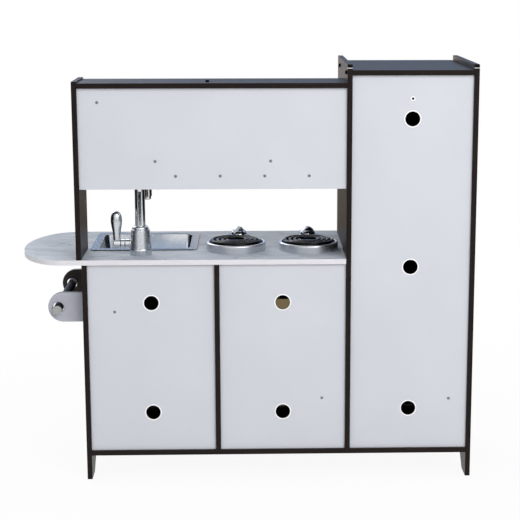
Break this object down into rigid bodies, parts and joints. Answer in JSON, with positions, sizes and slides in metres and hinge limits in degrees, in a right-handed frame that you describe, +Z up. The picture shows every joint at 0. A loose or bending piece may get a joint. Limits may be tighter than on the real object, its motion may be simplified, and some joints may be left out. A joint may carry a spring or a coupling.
{
  "type": "toy kitchen",
  "caption": "Freestanding toy kitchen with a tall fridge and freezer, drop-down oven, sink cupboard with a round-ended worktop, hob, faucet, raised microwave and shelf, and a towel holder.",
  "frame": {"origin": "centre of the whole object's box, on the floor", "axes": "+Z up; the doors face -Y and the back panels face +Y; the fridge is at -X and the worktop's round end at +X"},
  "size_m": [1.088, 0.407, 0.997],
  "materials": {
    "espresso_board": "dark espresso lacquer on fibreboard, satin",
    "white_panel": "white foil on thin hardboard, satin",
    "marble_top": "pale grey marble foil with a white edge band",
    "silver_plastic": "silver-grey painted plastic",
    "chrome_plastic": "chrome-plated plastic",
    "black_plastic": "black moulded plastic",
    "steel_pin": "zinc-plated steel",
    "clear_window": "clear smoke acrylic",
    "bracket_white": "pale grey painted fibreboard"
  },
  "bodies": {
    "cabinet": {"fridge_outer_side": "espresso_board", "fridge_inner_side": "espresso_board", "centre_partition": "espresso_board", "cabinet_outer_side": "espresso_board", "base_board": "espresso_board", "kick_board": "espresso_board", "fridge_top_board": "espresso_board", "counter_top": "marble_top", "fridge_back_panel": "white_panel", "oven_back_panel": "white_panel", "sink_back_panel": "white_panel", "upper_back_panel": "white_panel", "upper_side_board": "espresso_board", "upper_top_board": "espresso_board", "upper_shelf": "espresso_board", "microwave_divider": "espresso_board", "freezer_floor": "espresso_board", "fridge_upper_shelf": "espresso_board", "fridge_lower_shelf": "espresso_board", "oven_floor": "espresso_board", "oven_shelf": "espresso_board", "wall_hooks": "silver_plastic", "door_pivot_pins": "steel_pin", "door_magnets": "black_plastic", "panel_screws": "steel_pin", "side_bolts": "steel_pin", "corner_caps": "black_plastic", "left_burner_pan": "silver_plastic", "right_burner_pan": "silver_plastic", "left_burner_coil": "black_plastic", "right_burner_coil": "black_plastic", "knob_pivots": "steel_pin", "faucet_base": "silver_plastic", "faucet_nut": "black_plastic", "towel_rear_bracket": "bracket_white", "towel_front_bracket": "bracket_white"},
    "freezer_leaf": {"freezer_door": "espresso_board", "freezer_handle": "chrome_plastic"},
    "fridge_leaf": {"fridge_door": "espresso_board", "fridge_handle": "chrome_plastic"},
    "oven_leaf": {"oven_door": "espresso_board", "oven_window": "clear_window", "oven_handle": "chrome_plastic"},
    "storage_leaf": {"storage_door": "espresso_board", "storage_handle": "chrome_plastic"},
    "cupboard_leaf": {"cupboard_door": "espresso_board", "cupboard_handle": "chrome_plastic"},
    "microwave_leaf": {"microwave_door": "espresso_board", "microwave_window": "clear_window", "microwave_handle": "chrome_plastic"},
    "sink": {"sink_basin": "silver_plastic", "sink_strainer": "chrome_plastic"},
    "spout": {"faucet_spout": "chrome_plastic", "spout_nozzle": "chrome_plastic"},
    "lever": {"lever_stem": "silver_plastic", "lever_handle": "silver_plastic"},
    "left_knob_body": {"left_knob": "chrome_plastic"},
    "right_knob_body": {"right_knob": "chrome_plastic"},
    "dowel": {"towel_dowel": "silver_plastic"}
  },
  "joints": [
    {"name": "freezer_door_swing", "type": "hinge", "parent": "cabinet", "child": "freezer_leaf", "pos_m": [-0.5245, -0.1615, 0.839], "axis": [0, 0, -1], "range_deg": [0, 95]},
    {"name": "fridge_door_swing", "type": "hinge", "parent": "cabinet", "child": "fridge_leaf", "pos_m": [-0.5245, -0.1615, 0.383], "axis": [0, 0, -1], "range_deg": [0, 95]},
    {"name": "cupboard_door_swing", "type": "hinge", "parent": "cabinet", "child": "cupboard_leaf", "pos_m": [0.3665, -0.1615, 0.3005], "axis": [0, 0, 1], "range_deg": [0, 95]},
    {"name": "microwave_door_swing", "type": "hinge", "parent": "cabinet", "child": "microwave_leaf", "pos_m": [0.0725, 0.0575, 0.8615], "axis": [0, 0, 1], "range_deg": [0, 95]},
    {"name": "oven_door_drop", "type": "hinge", "parent": "cabinet", "child": "oven_leaf", "pos_m": [-0.088, -0.1615, 0.2125], "axis": [1, 0, 0], "range_deg": [0, 90]},
    {"name": "storage_door_drop", "type": "hinge", "parent": "cabinet", "child": "storage_leaf", "pos_m": [-0.088, -0.1615, 0.0795], "axis": [1, 0, 0], "range_deg": [0, 90]},
    {"name": "spout_swivel", "type": "hinge", "parent": "cabinet", "child": "spout", "pos_m": [0.251, 0.1295, 0.6], "axis": [0, 0, 1], "range_deg": [-45, 45]},
    {"name": "lever_tilt", "type": "hinge", "parent": "cabinet", "child": "lever", "pos_m": [0.296, 0.1295, 0.568], "axis": [1, 0, 0], "range_deg": [-45, 30]},
    {"name": "left_knob_turn", "type": "hinge", "parent": "cabinet", "child": "left_knob_body", "pos_m": [-0.159, -0.1235, 0.555], "axis": [0, 0, 1], "continuous": true},
    {"name": "right_knob_turn", "type": "hinge", "parent": "cabinet", "child": "right_knob_body", "pos_m": [0.018, -0.1235, 0.555], "axis": [0, 0, 1], "continuous": true},
    {"name": "dowel_spin", "type": "hinge", "parent": "cabinet", "child": "dowel", "pos_m": [0.4485, 0.021, 0.417], "axis": [0, 1, 0], "continuous": true},
    {"name": "sink_lift", "type": "slide", "parent": "cabinet", "child": "sink", "axis": [0, 0, 1], "range_m": [0, 0.1]}
  ]
}
